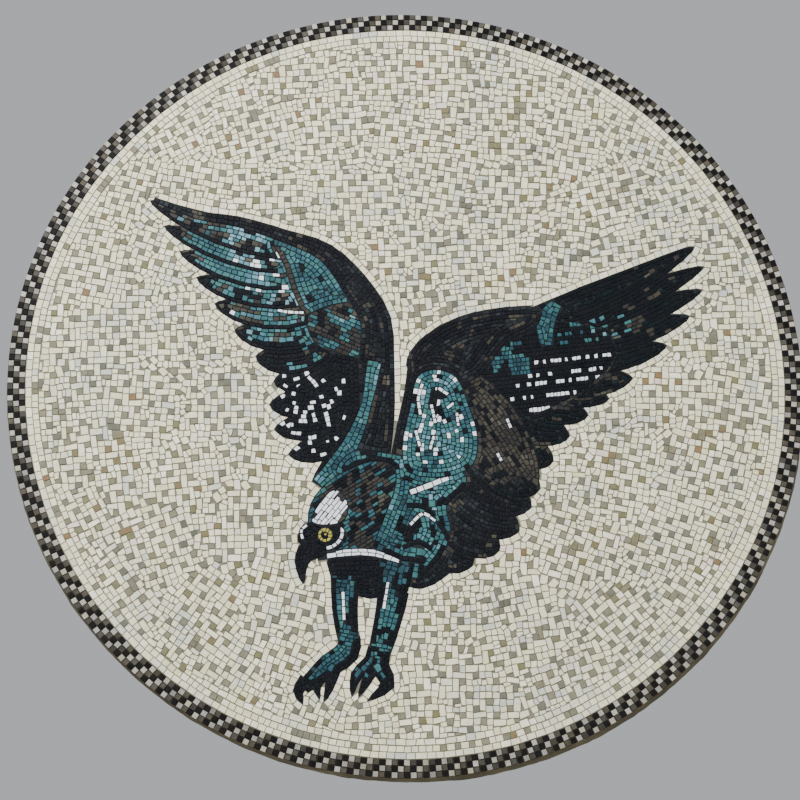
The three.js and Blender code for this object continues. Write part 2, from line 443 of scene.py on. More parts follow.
def settled(stones):
    """Stones of one area, trimmed against each other along their own sides, joint kept.

    A stone that lies mostly under firmer ones is left out.
    """
    pairs = neighbours(stones)
    if len(pairs) == 0:
        return stones
    middle = np.array([s.middle for s in stones])
    along = np.array([s.along for s in stones])
    half = np.array([[s.long, s.wide] for s in stones])
    i, j = pairs.T
    apart = middle[j] - middle[i]
    best = np.full(len(pairs), -1e9)
    normal = np.zeros((len(pairs), 2))
    for axis in (along[i], turned(along[i]), along[j], turned(along[j])):
        axis = axis * np.where((axis * apart).sum(axis=1) < 0, -1, 1)[:, None]
        reach = 0
        for k in (i, j):
            lengthways = np.abs((axis * along[k]).sum(axis=1))
            sideways = np.abs((axis * turned(along[k])).sum(axis=1))
            reach = reach + half[k, 0] * lengthways + half[k, 1] * sideways
        gap = (axis * apart).sum(axis=1) - reach
        better = gap > best
        best = np.where(better, gap, best)
        normal[better] = axis[better]
    lacking = JOINT - best
    order = np.argsort(-lacking)
    gone = np.zeros(len(stones), bool)
    for k in order[lacking[order] > DEEP]:
        a, b = pairs[k]
        if gone[a] or gone[b]:
            continue
        if stones[a].firm != stones[b].firm:
            loser = a if stones[a].firm < stones[b].firm else b
            gone[loser] = lacking[k] > 1.15 * half[loser, 1] + JOINT
        elif lacking[k] > 0.9 * min(half[a, 1], half[b, 1]) + JOINT:
            gone[max(a, b)] = True
    for k in np.flatnonzero(lacking > 0.02):
        a, b = pairs[k]
        if gone[a] or gone[b]:
            continue
        for one, other, n in ((a, b, normal[k]), (b, a, -normal[k])):
            stone, firm = stones[one], stones[other].firm
            share = 0.5 if stone.firm == firm else float(stone.firm < firm)
            if share:
                along, across = abs(n @ stone.along), abs(n @ turned(stone.along))
                size = stone.long * along + stone.wide * across
                limit = n @ stone.middle + size - lacking[k] * share
                stone.shape = clipped(stone.shape, n, limit)
    return [s for k, s in enumerate(stones) if not gone[k] and len(s.shape) > 2]


def kept_inside(stones, area):
    """The stones trimmed to their area's outline, one side of a stone in each of five rounds."""
    for _ in range(5):
        points, owner = [], []
        for k, stone in enumerate(stones):
            ring = stone.shape
            for a, b in zip(ring, ring[1:] + ring[:1]):
                points += [a, (a + b) / 2]
                owner += [k, k]
        if not points:
            break
        depth, near = area.depth(np.array(points))
        worst = {}
        for n in np.flatnonzero(depth < -0.08):  # over the outline, beyond a hair's breadth
            if depth[n] < depth[worst.setdefault(owner[n], n)]:
                worst[owner[n]] = n
        if not worst:
            break
        for k, n in worst.items():
            normal = area.outward(near[n])
            limit = normal @ area.start[near[n]]
            if normal @ stones[k].middle > limit:
                normal = points[n] - stones[k].middle
                normal = normal / max(np.hypot(*normal), 1e-9)
                limit = normal @ points[n] + depth[n]
            stones[k].shape = clipped(stones[k].shape, normal, limit)
        stones = [s for s in stones if len(s.shape) > 2]
    return stones


def surface(shape):
    x, z = np.array(shape).T
    return 0.5 * abs(np.dot(x, np.roll(z, -1)) - np.dot(z, np.roll(x, -1)))


def narrowest(shape):
    """A convex shape's least width."""
    p = np.array(shape)
    sides = np.roll(p, -1, axis=0) - p
    sides = sides[np.hypot(*sides.T) > 0.1]
    normals = turned(sides) / np.hypot(*sides.T)[:, None]
    reach = p @ normals.T
    return (reach.max(axis=0) - reach.min(axis=0)).min()


def worth_setting(stone):
    """Whether a stone is still at least 5 square millimetres and 1.5 mm across."""
    return len(stone.shape) > 2 and surface(stone.shape) > 5 and narrowest(stone.shape) > 1.5


def swollen(ring, by):
    """A convex shape with its sides moved outwards, or inwards if `by` is negative."""
    before = ring - np.roll(ring, 1, axis=0)
    before = before / np.maximum(np.hypot(*before.T), 1e-9)[:, None]
    after = np.roll(before, -1, axis=0)
    spread = np.maximum(1 + (before * after).sum(axis=1), 0.5)
    return ring - by * turned(before + after) / spread[:, None]


def fitted(stones):
    """Stones cut to close up with their neighbours, so that only the joint is left between them.

    Each grows on every side and is cut back to the line midway to each neighbour. An inlaid one
    keeps its size, and its neighbours give way.
    """
    rings = [np.array(s.shape) for s in stones]
    grown = []
    for stone, ring in zip(stones, rings):
        ring = ring[np.hypot(*(ring - np.roll(ring, 1, axis=0)).T) > 0.3]
        swell = 0.0 if stone.firm == INLAID else GROWTH
        grown.append(list(swollen(ring, swell)) if len(ring) > 2 else [])
    for a, b in neighbours(stones, JOINT + 2 * GROWTH):
        p, q = rings[a], rings[b]
        if len(grown[a]) < 3 or len(grown[b]) < 3:
            continue
        best, normal = -1e9, None
        for ring, sign in ((p, -1.0), (q, 1.0)):
            sides = np.roll(ring, -1, axis=0) - ring
            size = np.sqrt((sides * sides).sum(axis=1))
            sides = sides[size > 0.4] / size[size > 0.4, None]
            outward = turned(sides) * sign
            gaps = (q @ outward.T).min(axis=0) - (p @ outward.T).max(axis=0)
            k = gaps.argmax()
            if gaps[k] > best:
                best, normal = gaps[k], outward[k]
        if best > JOINT + 2 * GROWTH + 0.5:
            continue
        firmer = (stones[a].firm == INLAID) - (stones[b].firm == INLAID)
        share = 0.5 - 0.5 * firmer
        spare = best - JOINT
        grown[a] = clipped(grown[a], normal, (p @ normal).max() + spare * share)
        grown[b] = clipped(grown[b], -normal, (q @ -normal).max() + spare * (1 - share))
    for stone, shape in zip(stones, grown):
        stone.shape = shape
    return stones


def bare_cells(areas, stones):
    """The panel in cells of a millimetre: whose area each is in, and whether it is still bare,
    with its middle no nearer than 0.75 mm to a stone."""
    size = int(2 * RADIUS)
    owner = np.full((size, size), -1, np.int16)
    for n, area in enumerate(areas):
        a, b = area.start, area.end
        for row in range(int(area.low[1] + RADIUS), int(area.high[1] + RADIUS) + 1):
            z = row + 0.5 - RADIUS
            hit = (a[:, 1] > z) != (b[:, 1] > z)
            rise = (z - a[hit, 1]) / (b[hit, 1] - a[hit, 1])
            cross = np.sort(a[hit, 0] + rise * (b[hit, 0] - a[hit, 0])) + RADIUS
            for left, right in zip(cross[::2], cross[1::2]):
                owner[row, int(round(left)) : int(round(right))] = n
    bare = owner >= 0
    for stone in stones:
        ring = np.array(stone.shape)
        low = np.maximum(np.floor(ring.min(axis=0) + RADIUS - 1).astype(int), 0)
        high = np.ceil(ring.max(axis=0) + RADIUS + 1).astype(int)
        x, z = np.meshgrid(np.arange(low[0], high[0]) + 0.5, np.arange(low[1], high[1]) + 0.5)
        inside = np.ones(x.shape, bool)
        for a, b in zip(ring, np.roll(ring, -1, axis=0)):
            n = -turned(b - a) / max(np.hypot(*(b - a)), 1e-9)
            inside &= (x - RADIUS - a[0]) * n[0] + (z - RADIUS - a[1]) * n[1] < 0.75
        bare[low[1] : high[1], low[0] : high[0]] &= ~inside[: size - low[1], : size - low[0]]
    return owner, bare


def chips(areas, stones):
    """Small stones for the gaps that are left, from the widest gap down. `depth` is how many
    cells each lies from a gap's edge."""
    owner, bare = bare_cells(areas, stones)
    depth = np.zeros(bare.shape, np.int8)
    left = bare
    while left.any() and depth.max() < 7:
        depth += left
        inner = left.copy()
        for shift in ((1, 0), (-1, 0), (0, 1), (0, -1)):
            inner &= np.roll(left, shift, axis=(0, 1))
        left = inner
    spots = np.argwhere(depth >= CHIP)
    spots = spots[np.lexsort((chance.random(len(spots)), -depth[tuple(spots.T)]))]
    used = np.zeros(bare.shape, bool)
    found = []
    for row, column in spots:
        if used[row, column]:
            continue
        area = areas[owner[row, column]]
        middle = np.array([column + 0.5, row + 0.5]) - RADIUS
        segment = area.depth(middle[None])[1][0]
        reach = float(depth[row, column])
        along = area.end[segment] - area.start[segment]
        chip = Stone(area, middle, along, min(reach + 1, 5.0), min(reach, 3.4), course=3)
        chip.cut(0.3)
        found.append(chip)
        span = int(reach) + 2
        used[row - span : row + span + 1, column - span : column + span + 1] = True
    return found


# ---------------------------------------------------------------- what each area is laid with

# Course widths from the outline inwards and the stones' length, joints included
LAYING = {
    "far_wing_primary": ([4.6, 6.8], 9.0),
    "far_wing_secondary": ([6.0], 6.6),
    "far_wing_underside": ([6.0], 6.8),
    "far_wing_coverts": ([6.8], 7.4),
    "far_wing_edge": ([5.6], 8.0),
    "far_wing_stripe": ([6.2], 7.6),
    "near_wing_primary": ([5.0, 6.2], 10.0),
    "near_wing_secondary": ([5.0, 6.2], 8.5),
    "near_wing_arm": ([5.4], 8.4),
    "near_wing_bar": ([6.4], 7.8),
    "tertial": ([5.0, 5.8], 9.0),
    "tail_feather": ([5.6], 7.2),
    "belly": ([6.0], 6.4),
    "shoulder": ([6.0], 7.0),
    "neck": ([6.2], 7.2),
    "cheek": ([4.8], 11.0),
    "eye": ([4.2, 3.8], 5.4),
    "mask": ([5.0], 6.5),
    "beak": ([5.4], 7.0),
    "breast": ([6.0], 7.0),
    "left_shin": ([5.0, 6.2], 7.5),
    "right_shin": ([5.0, 6.2], 7.5),
    "left_foot": ([5.0, 5.8], 6.8),
    "right_foot": ([5.0, 5.8], 6.8),
}

# Areas laid in straight courses: their direction in degrees, course width and stone length
STRAIGHT = {
    "crown": (52, 5.6, 13.0),
    "nape": (33, 5.0, 10.0),
    "far_wing_wrist": (-24, 6.0, 9.0),
    "near_wing_coverts": (7, 6.2, 5.6),
}

# What the stones of an area are cut from, as shares of it. The order is that in which the
# colours border on each other, and an area that isn't named is all ink.
MIX = {
    "far_wing_primary": {"ink": 0.08, "teal": 0.87, "brown": 0.05},
    "far_wing_primary_1": {"ink": 0.25, "brown": 0.35, "teal": 0.4},
    "far_wing_primary_2": {"ink": 0.2, "brown": 0.2, "teal": 0.6},
    "far_wing_primary_5": {"brown": 0.3, "teal": 0.7},
    "far_wing_primary_6": {"ink": 0.3, "brown": 0.1, "teal": 0.6},
    "far_wing_primary_7": {"ink": 0.7, "brown": 0.1, "teal": 0.2},
    "far_wing_coverts": {"teal": 0.95, "ink": 0.05},
    "far_wing_wrist": {"ink": 0.2, "brown": 0.6, "teal": 0.2},
    "far_wing_edge": {"ink": 0.88, "brown": 0.12},
    "far_wing_stripe": {"teal": 1.0},
    "near_wing_primary": {"ink": 0.95, "brown": 0.05},
    "near_wing_secondary": {"ink": 0.85, "brown": 0.15},
    "near_wing_arm": {"ink": 0.88, "brown": 0.12},
    "near_wing_bar": {"teal": 1.0},
    "tertial": {"ink": 0.2, "brown": 0.8},
    "tail_feather": {"ink": 0.93, "brown": 0.07},
    "belly": {"ink": 0.9, "brown": 0.1},
    "shoulder": {"ink": 0.08, "teal": 0.92},
    "neck": {"ink": 0.14, "teal": 0.86},
    "nape": {"teal": 0.1, "ink": 0.4, "brown": 0.5},
    "crown": {"white": 1.0},
    "cheek": {"white": 1.0},
    "left_shin": {"ink": 0.1, "teal": 0.9},
    "right_shin": {"ink": 0.1, "teal": 0.9},
    "left_foot": {"ink": 0.03, "teal": 0.97},
    "right_foot": {"ink": 0.2, "teal": 0.8},
}

# How far a colour keeps up along the courses before it changes, in millimetres
CLUMP = {"nape": 6.0, "far_wing_wrist": 11.0, "tertial": 9.0, "shoulder": 12.0, "neck": 12.0}
USUAL_CLUMP = 15.0

# Areas whose lower outline is a dark line, and how upright that outline may be
DARK_BELOW = {"far_wing_primary": 0.25, "left_foot": 0.25, "right_foot": 0.25, "neck": -0.4}

# Short strokes inlaid in an area: what of, where, course width and stone length
STROKES = [
    ("white", "shoulder", [(22, -8), (16, -30), (19, -54)], 5.4, 9),
    ("white", "shoulder", [(44, -14), (58, -24)], 5.4, 9),
    ("white", "shoulder", [(34, -38), (40, -66)], 5.2, 8),
    ("white", "shoulder", [(56, -44), (66, -36)], 5.0, 9),
    ("white", "shoulder", [(70, -50), (72, -70)], 4.8, 8),
    ("white", "shoulder", [(12, -76), (18, -100)], 5.2, 8),
    ("white", "shoulder", [(38, -84), (32, -104)], 5.0, 7),
    ("white", "neck", [(4, -166), (30, -156), (58, -144)], 8.4, 12),
    ("white", "neck", [(-24, -158), (-14, -138)], 5.0, 9),
    ("white", "neck", [(4, -212), (22, -196), (40, -206)], 5.6, 10),
    ("ink", "neck", [(0, -184), (26, -188), (50, -218), (62, -240)], 7.0, 9),
    ("ink", "neck", [(-6, -244), (16, -236), (34, -246)], 6.5, 9),
    ("white", "mask", [(-130, -240), (-116, -246), (-101, -242), (-91, -231), (-89, -216)],
     5.8, 8),
    ("white", "mask", [(-144, -233), (-146, -221), (-138, -213)], 4.6, 7),
    ("iris", "eye", [(-114.8, -226.4), (-110.6, -226.2)], 4.0, 4.2),
    ("white", "left_shin", [(-88, -306), (-86, -346)], 5.0, 9),
    ("white", "right_shin", [(-26, -292), (-32, -330)], 5.0, 9),
    ("white", "far_wing_primary_5", [(-212, 112), (-180, 98), (-146, 95)], 5.4, 8),
    ("white", "far_wing_edge", [(-92, 108), (-72, 98)], 5.0, 10),
    ("white", "tertial_1", [(140, -58), (146, -72)], 5.0, 10),
    ("white", "tertial_2", [(126, -108), (132, -120)], 5.0, 8),
]


def family(name):
    """The group of feathers that an area belongs to, such as `tertial` for `tertial_2`."""
    return name.rsplit("_", 1)[0]


def own(table, name, usual=None):
    """The entry for an area, or for its family, or else the usual one."""
    return table.get(name, table.get(family(name), usual))


def drawn(mix, value):
    """One of a mix's kinds, by a value from 0 to 1."""
    total = 0.0
    for kind, share in mix.items():
        total += share
        if value < total:
            return kind
    return kind


def flecked(name, x, z):
    """The chance of a white fleck at a place in a feathered area."""
    if name.startswith("far_wing_secondary"):
        return 0.2
    if name == "far_wing_underside" and x < -88 and z < 12:
        return 0.2
    if name == "near_wing_coverts":  # in rows, which rise to the right
        height = z - 0.123 * (x - 200)
        start = 158 + 12 * math.sin(height / 9) + 0.35 * height
        in_row = (height + 48) % 18.6 < 6.2 and -50 < height < 44
        return 0.52 if in_row and x > start else 0.0
    if name.startswith("far_wing_primary") and -250 < x < -150 and 88 < z < 192:
        return 0.1
    if name == "shoulder" and z > -126:
        return 0.22 if x < 46 else 0.08
    return 0.0


def outlined(stone, depth, outward):
    """The kind of a stone in the line that ends an area, or None where there is no such line.
    `depth` is how deep it lies, and `outward` is the way out of the area there."""
    name, (x, z) = stone.area.name, stone.middle
    first = stone.course == 0 and depth < 4.5
    if first and outward[1] < own(DARK_BELOW, name, -2):
        return "ink"
    if "shin" in name and abs(outward[0]) > 0.5:
        broad = outward[0] > 0.5 and drift(x, z, 9, 71) > 0.45
        if depth < (9 if broad else 5):
            return "ink"
    if "foot" in name and z < -426:  # the talons
        return "ink"
    if "foot" in name and outward[0] > 0.1 and outward[1] < 0.5 and depth < 9:
        return "ink"
    if name == "nape" and outward[0] < -0.2 and outward[1] > 0 and depth < 4.5:
        return "teal"
    if name == "crown" and outward[0] > 0.6 and depth < 7 * drift(x, z, 7, 61):
        return "brown"
    if name == "far_wing_coverts" and first and outward[0] < -0.6:
        return "brown"
    return None


def chosen_kind(stone):
    """What a stone of the bird is cut from: the line that ends its area, a white fleck, what is
    special to a place, or its area's mix."""
    name, (x, z) = stone.area.name, stone.middle
    if name == "eye":
        return "iris" if stone.course == 0 else "ink"
    depth, near = stone.area.depth(stone.middle[None])
    line = outlined(stone, depth[0], stone.area.outward(near[0]))
    if line:
        return line
    if chance.random() < flecked(name, x, z):
        return "white"
    low, high = stone.area.low[0], stone.area.high[0]
    if family(name) == "far_wing_primary" and x < low + 0.14 * (high - low):  # the dark tips
        return "ink" if chance.random() < 0.6 else "brown"
    if name == "near_wing_coverts" and x < 172 and 8 < z < 56:
        return "teal" if drift(x, z, 14, 31) > 0.5 else "ink"
    if name.startswith(("near_wing_coverts", "near_wing_primary")) and 214 < x < 318:
        height = z - 0.2 * (x - 200)  # two broken teal rows, which rise to the right
        if 46 < height < 80 and (height - 46) % 13 < 6.5 and chance.random() < 0.5:
            return "teal"
    seed = sum(map(ord, name)) + 7 * min(stone.course, 3)
    value = float(drift(x, z, own(CLUMP, name, USUAL_CLUMP), seed))
    return drawn(own(MIX, name, {"ink": 1.0}), value)


def chosen_tone(stone):
    """Where a stone lies between the darkest and lightest of its kind: some drift, some chance."""
    x, z = stone.middle
    kind, name = stone.kind, stone.area.name
    luck = chance.random()
    if kind in ("cream", "tan"):
        return 0.4 * float(drift(x, z, 38, 5)) + 0.6 * luck
    if kind == "ink":
        low, span = 0.2, 0.5
        if family(name) in ("near_wing_primary", "near_wing_secondary"):
            low, span = 0.0, 0.55
        if name in ("belly", "near_wing_arm", "far_wing_edge") or "tail" in name:
            low, span = 0.3, 0.7
        course = float(drift(x, z, 26, 11 + 3 * stone.course))
        return min(1.0, low + span * (0.6 * course + 0.4 * luck))
    tone = 0.5 * float(drift(x, z, 30, 23)) + 0.5 * luck
    if name.startswith(("left_", "right_", "nape")) and kind == "teal":
        return 0.7 * tone
    return min(1.0, tone + 0.14) if "primary" in name else tone


def bird_stones(area):
    """One area of the bird, laid and trimmed."""
    stones = []
    for kind, name, spine, width, length in STROKES:
        if name == area.name:
            path = traced(curved(spine))
            stones += laid_along(area, path, length, width, firm=INLAID, kind=kind)
    if area.name in STRAIGHT:
        stones += rows(area, *STRAIGHT[area.name])
    else:
        stones += followed(area, *own(LAYING, area.name))
    for stone in stones:
        stone.cut(0.4 if stone.firm == INLAID else min(1.2, 0.45 * stone.wide))
    return kept_inside(settled(stones), area)


def ground_stones(area):
    """The ground: a course round the bird, one beside the border where it hangs low, and the
    pinwheels."""

    def wanted(line):
        x, z = line.T
        at_bird = np.hypot(x, z) < RADIUS - BORDER - 40
        return at_bird | ((x > 60) & (z < -150)) | (z < -430)

    course = followed(area, [8.8], 12.5, courses=1, wanted=wanted)
    for stone in course:
        stone.firm, stone.kind = 1, "cream"
    filling = pinwheel(area)
    depth = area.depth(np.array([s.middle for s in filling]))[0]
    stones = course + [s for s, d in zip(filling, depth) if d > 1.5]
    for stone in stones:
        stone.cut(1.3)
    return kept_inside(settled(stones), area)


def edge_stones(area):
    """Courses of cream stones inside the border, the inner one with some olive squares in it."""
    between = RADIUS - BORDER - GROUND_PITCH
    outer = followed(area, [9.0], 13.0, 1, lambda line: np.hypot(*line.T) > between)
    inner = followed(area, [9.0], 9.6, 1, lambda line: np.hypot(*line.T) < between)
    for stone in outer + inner:
        stone.kind = "cream"
    for stone in inner:
        if stone.long < 4.6 and chance.random() < 0.4:  # nearly square ones
            stone.kind = "tan"
    for stone in outer + inner:
        stone.cut(0.8)
    return kept_inside(settled(outer + inner), area)


def set_out(nodes):
    """Every stone of the picture and its ground, trimmed, with its kind and tone."""
    skipped = ("mortar_slab", "border_course")
    areas = [Area(n, o) for n, o in sorted(nodes.items()) if not n.startswith(skipped)]
    laying = {"ground": ground_stones, "ground_edge": edge_stones}
    stones = []
    for area in areas:
        stones += laying.get(area.name, bird_stones)(area)
    stones = [s for s in stones if worth_setting(s)]
    stones += chips(areas, stones)
    by_area = {area.name: [] for area in areas}
    for stone in stones:
        by_area[stone.area.name].append(stone)
    stones = []
    for area in areas:
        stones += kept_inside(fitted(by_area[area.name]), area)
    stones = [s for s in stones if worth_setting(s)]
    for stone in stones:
        if stone.kind is None:
            pale = stone.area.name.startswith("ground")
            stone.kind = "cream" if pale else chosen_kind(stone)
        stone.tone = chosen_tone(stone)
    return areas, stones


# ---------------------------------------------------------------- nodes

MATH, VECTORS, MAP_RANGE = "ShaderNodeMath", "ShaderNodeVectorMath", "ShaderNodeMapRange"
SPLIT, COMBINED = "ShaderNodeSeparateXYZ", "ShaderNodeCombineXYZ"
NOISE, MIXED, RAMP = "ShaderNodeTexNoise", "ShaderNodeMix", "ShaderNodeValToRGB"
STORED, READ = "GeometryNodeStoreNamedAttribute", "GeometryNodeInputNamedAttribute"
RANDOM, MOVED = "FunctionNodeRandomValue", "GeometryNodeSetPosition"


def add(tree, kind, inputs=None, stops=(), **settings):
    """Adds a node to a tree and sets its properties. An input takes a value, a socket, or a node,
    whose first output is then linked. A colour ramp's stops are (place, colour)."""
    node = tree.nodes.new(kind)
    for name, value in settings.items():
        setattr(node, name, value)
    for key, value in (inputs or {}).items():
        if isinstance(value, bpy.types.Node):
            value = value.outputs[0]
        if isinstance(value, bpy.types.NodeSocket):
            tree.links.new(value, node.inputs[key])
        else:
            node.inputs[key].default_value = value
    for k, (place, code) in enumerate(stops):
        colours = node.color_ramp.elements
        stop = colours[k] if k < len(colours) else colours.new(1.0)
        stop.position, stop.color = place, linear(code)
    return node


def opened(name, sockets):
    """A new Geometry Nodes tree with named inputs: (name, type, value)."""
    tree = bpy.data.node_groups.new(name, "GeometryNodeTree")
    tree.interface.new_socket("Geometry", in_out="INPUT", socket_type="NodeSocketGeometry")
    for label, kind, value in sockets:
        socket = tree.interface.new_socket(label, in_out="INPUT", socket_type="NodeSocket" + kind)
        if value is not None:
            socket.default_value = value
    tree.interface.new_socket("Geometry", in_out="OUTPUT", socket_type="NodeSocketGeometry")
    return tree, add(tree, "NodeGroupInput").outputs


def front_map(tree, geometry):
    """Stores a flat map of the panel's front, a hundredth wider than the panel. A stone's flanks
    are drawn in towards its seat, so that they have room of their own."""
    place = add(tree, "GeometryNodeInputPosition")
    seat = add(tree, READ, {0: "seat"}, data_type="FLOAT_VECTOR")
    flank = add(tree, READ, {0: "flank"}, data_type="FLOAT")
    share = add(tree, MATH, {0: flank, 1: 0.16}, operation="MULTIPLY")
    drawn_in = add(tree, MIXED, {0: share, 4: place, 5: seat}, data_type="VECTOR").outputs[1]
    split = add(tree, SPLIT, {0: drawn_in}).outputs
    scale = 0.5 / (RADIUS * MM * 1.01)
    x, z = (
        add(tree, MATH, {0: axis, 1: scale, 2: 0.5}, operation="MULTIPLY_ADD")
        for axis in (split[0], split[2])
    )
    flat = add(tree, COMBINED, {0: x, 1: z})
    stored = {0: geometry, 2: "OFBake", 3: flat}
    return add(tree, STORED, stored, data_type="FLOAT2", domain="CORNER")


def ended(tree, geometry, material):
    """Ends a tree: its geometry is made real, mapped and given its material."""
    real = add(tree, "GeometryNodeRealizeInstances", {0: geometry})
    dressed = add(tree, "GeometryNodeSetMaterial", {0: front_map(tree, real), 2: material})
    add(tree, "NodeGroupOutput", {0: dressed})


def stone_cutter():
    """Cuts flat shapes into closed stones: each is raised, its arris worn, its face set a little
    out of true, and its foot closed. `inset` points from a corner towards where its arris ends."""
    tree, given = opened("stone_cutter", [
        ("Height", "Float", SHOWN * MM),
        ("Arris", "Float", ARRIS * MM),
        ("Unevenness", "Float", 0.25 * MM),
        ("Lean", "Float", 0.02),
        ("Seed", "Int", 3),
        ("Material", "Material", None),
    ])
    per_face = {"data_type": "FLOAT_VECTOR", "domain": "FACE"}
    place = add(tree, "GeometryNodeInputPosition")
    seated = add(tree, STORED, {0: given["Geometry"], 2: "seat", 3: place}, **per_face)
    any_way = {0: (-1, -1, -1), 1: (1, 1, 1), "Seed": given["Seed"]}
    step = add(tree, RANDOM, any_way, data_type="FLOAT_VECTOR")
    flat = add(tree, STORED, {0: seated, 2: "set", 3: step}, **per_face)

    arris = given["Arris"]
    body = add(tree, MATH, {0: given["Height"], 1: arris}, operation="SUBTRACT")
    up = {"Offset": (0, -1, 0), "Individual": True}
    lift = {"Mesh": flat, "Offset Scale": body, **up}
    raised = add(tree, "GeometryNodeExtrudeMesh", lift).outputs
    lift = {"Mesh": raised["Mesh"], "Selection": raised["Top"], "Offset Scale": arris, **up}
    topped = add(tree, "GeometryNodeExtrudeMesh", lift).outputs

    inset = add(tree, READ, {0: "inset"}, data_type="FLOAT_VECTOR")
    worn = add(tree, VECTORS, {0: inset, 3: arris}, operation="SCALE")
    seat = add(tree, READ, {0: "seat"}, data_type="FLOAT_VECTOR")
    hand = add(tree, READ, {0: "set"}, data_type="FLOAT_VECTOR")
    corner = add(tree, "GeometryNodeInputPosition")
    arm = add(tree, VECTORS, {0: corner, 1: seat}, operation="SUBTRACT")
    tilt = add(tree, VECTORS, {0: hand, 1: (1, 0, 1)}, operation="MULTIPLY")
    swing = add(tree, VECTORS, {0: arm, 1: tilt}, operation="DOT_PRODUCT").outputs["Value"]
    swing = add(tree, MATH, {0: swing, 1: given["Lean"]}, operation="MULTIPLY")
    rise = add(tree, SPLIT, {0: hand}).outputs[1]
    rise = add(tree, MATH, {0: rise, 1: given["Unevenness"], 2: swing}, operation="MULTIPLY_ADD")
    rise = add(tree, COMBINED, {1: rise})
    moved = add(tree, VECTORS, {0: worn, 1: rise}, operation="ADD")
    shaped = add(tree, MOVED, {0: topped["Mesh"], 1: topped["Top"], 3: moved})

    lower = add(tree, MATH, {0: 1.0, 1: topped["Top"]}, operation="SUBTRACT")
    foot = add(tree, "GeometryNodeFlipFaces", {0: flat})
    whole = add(tree, "GeometryNodeJoinGeometry")
    for part, flank in ((shaped, lower), (foot, 1.0)):
        stored = {0: part, 2: "flank", 3: flank}
        marked = add(tree, STORED, stored, data_type="FLOAT", domain="POINT")
        tree.links.new(marked.outputs[0], whole.inputs[0])
    closed = add(tree, "GeometryNodeMergeByDistance", {0: whole, "Distance": 2e-6})
    ended(tree, closed, given["Material"])
    return tree


def border_setter():
    """Sets copies of a small stone in the border's courses: every third stone of each course,
    with each course one stone behind the one outside it."""
    tree, given = opened("border_setter", [
        ("Radius", "Float", (RADIUS - BORDER / BORDER_COURSES / 2) * MM),
        ("Course", "Float", BORDER / BORDER_COURSES * MM),
        ("Courses", "Int", BORDER_COURSES),
        ("Stones", "Int", BORDER_STONES),
        ("Colour", "Int", 0),
        ("Seed", "Int", 5),
        ("Material", "Material", None),
    ])
    total = add(tree, MATH, {0: given["Stones"], 1: given["Courses"]}, operation="MULTIPLY")
    spots = add(tree, "GeometryNodePoints", {0: total})
    index = add(tree, "GeometryNodeInputIndex")
    lap = add(tree, MATH, {0: index, 1: given["Stones"]}, operation="DIVIDE")
    course = add(tree, MATH, {0: lap}, operation="FLOOR")
    colour = add(tree, MATH, {0: index, 1: course}, operation="ADD")
    colour = add(tree, MATH, {0: colour, 1: given["Colour"]}, operation="SUBTRACT")
    colour = add(tree, MATH, {0: colour, 1: 3.0}, operation="FLOORED_MODULO")
    chosen = add(tree, MATH, {0: colour, 1: 0.5}, operation="LESS_THAN")

    # how far a stone slips along its course, stands proud and is skewed, and its tone
    slip, proud, skew, tone = (
        add(tree, RANDOM, {2: low, 3: high, "Seed": given["Seed"]}, data_type="FLOAT").outputs[1]
        for low, high in ((-0.045, 0.045), (-0.25 * MM, 0.25 * MM), (-0.07, 0.07), (0.0, 1.0))
    )
    slip = add(tree, MATH, {0: slip, 1: given["Stones"]}, operation="DIVIDE")
    turn = add(tree, MATH, {0: lap, 1: slip}, operation="ADD")
    turn = add(tree, MATH, {0: turn, 1: -2 * math.pi}, operation="MULTIPLY")
    radius = add(tree, MATH, {0: course, 1: given["Course"]}, operation="MULTIPLY")
    radius = add(tree, MATH, {0: given["Radius"], 1: radius}, operation="SUBTRACT")
    shares = (add(tree, MATH, {0: turn}, operation=kind) for kind in ("COSINE", "SINE"))
    across, up = (add(tree, MATH, {0: share, 1: radius}, operation="MULTIPLY") for share in shares)
    spot = add(tree, COMBINED, {0: across, 1: proud, 2: up})
    laid = add(tree, MOVED, {0: spots, 2: spot})
    facing = add(tree, MATH, {0: turn, 1: -1.0, 2: skew}, operation="MULTIPLY_ADD")
    facing = add(tree, COMBINED, {1: facing})
    sizes = {0: (0.93, 1.0, 0.93), 1: (1.05, 1.0, 1.05), "Seed": given["Seed"]}
    size = add(tree, RANDOM, sizes, data_type="FLOAT_VECTOR")
    for name, kind, value in (("tone", "FLOAT", tone), ("seat", "FLOAT_VECTOR", spot)):
        laid = add(tree, STORED, {0: laid, 2: name, 3: value}, data_type=kind, domain="POINT")
    copies = add(tree, "GeometryNodeInstanceOnPoints", {
        "Points": laid, "Selection": chosen, "Instance": given["Geometry"],
        "Rotation": facing, "Scale": size,
    })
    ended(tree, copies, given["Material"])
    return tree


def placed(name, data):
    """A new object in the scene, at the origin."""
    thing = bpy.data.objects.new(name, data)
    bpy.context.scene.collection.objects.link(thing)
    return thing


def made(name, base, tree, **inputs):
    """A plain mesh piece: a tree's result over a base mesh, with named inputs set first."""
    carrier = placed(name + "_base", base)
    modifier = carrier.modifiers.new("laying", "NODES")
    modifier.node_group = tree
    for item in tree.interface.items_tree:
        if item.item_type == "SOCKET" and item.in_out == "INPUT" and item.name in inputs:
            modifier[item.identifier] = inputs[item.name]
    bpy.context.view_layer.update()
    graph = bpy.context.evaluated_depsgraph_get()
    mesh = bpy.data.meshes.new_from_object(
        carrier.evaluated_get(graph), preserve_all_data_layers=True, depsgraph=graph
    )
    mesh.name = name
    bpy.data.objects.remove(carrier)
    return placed(name, mesh)


# ---------------------------------------------------------------- finishes


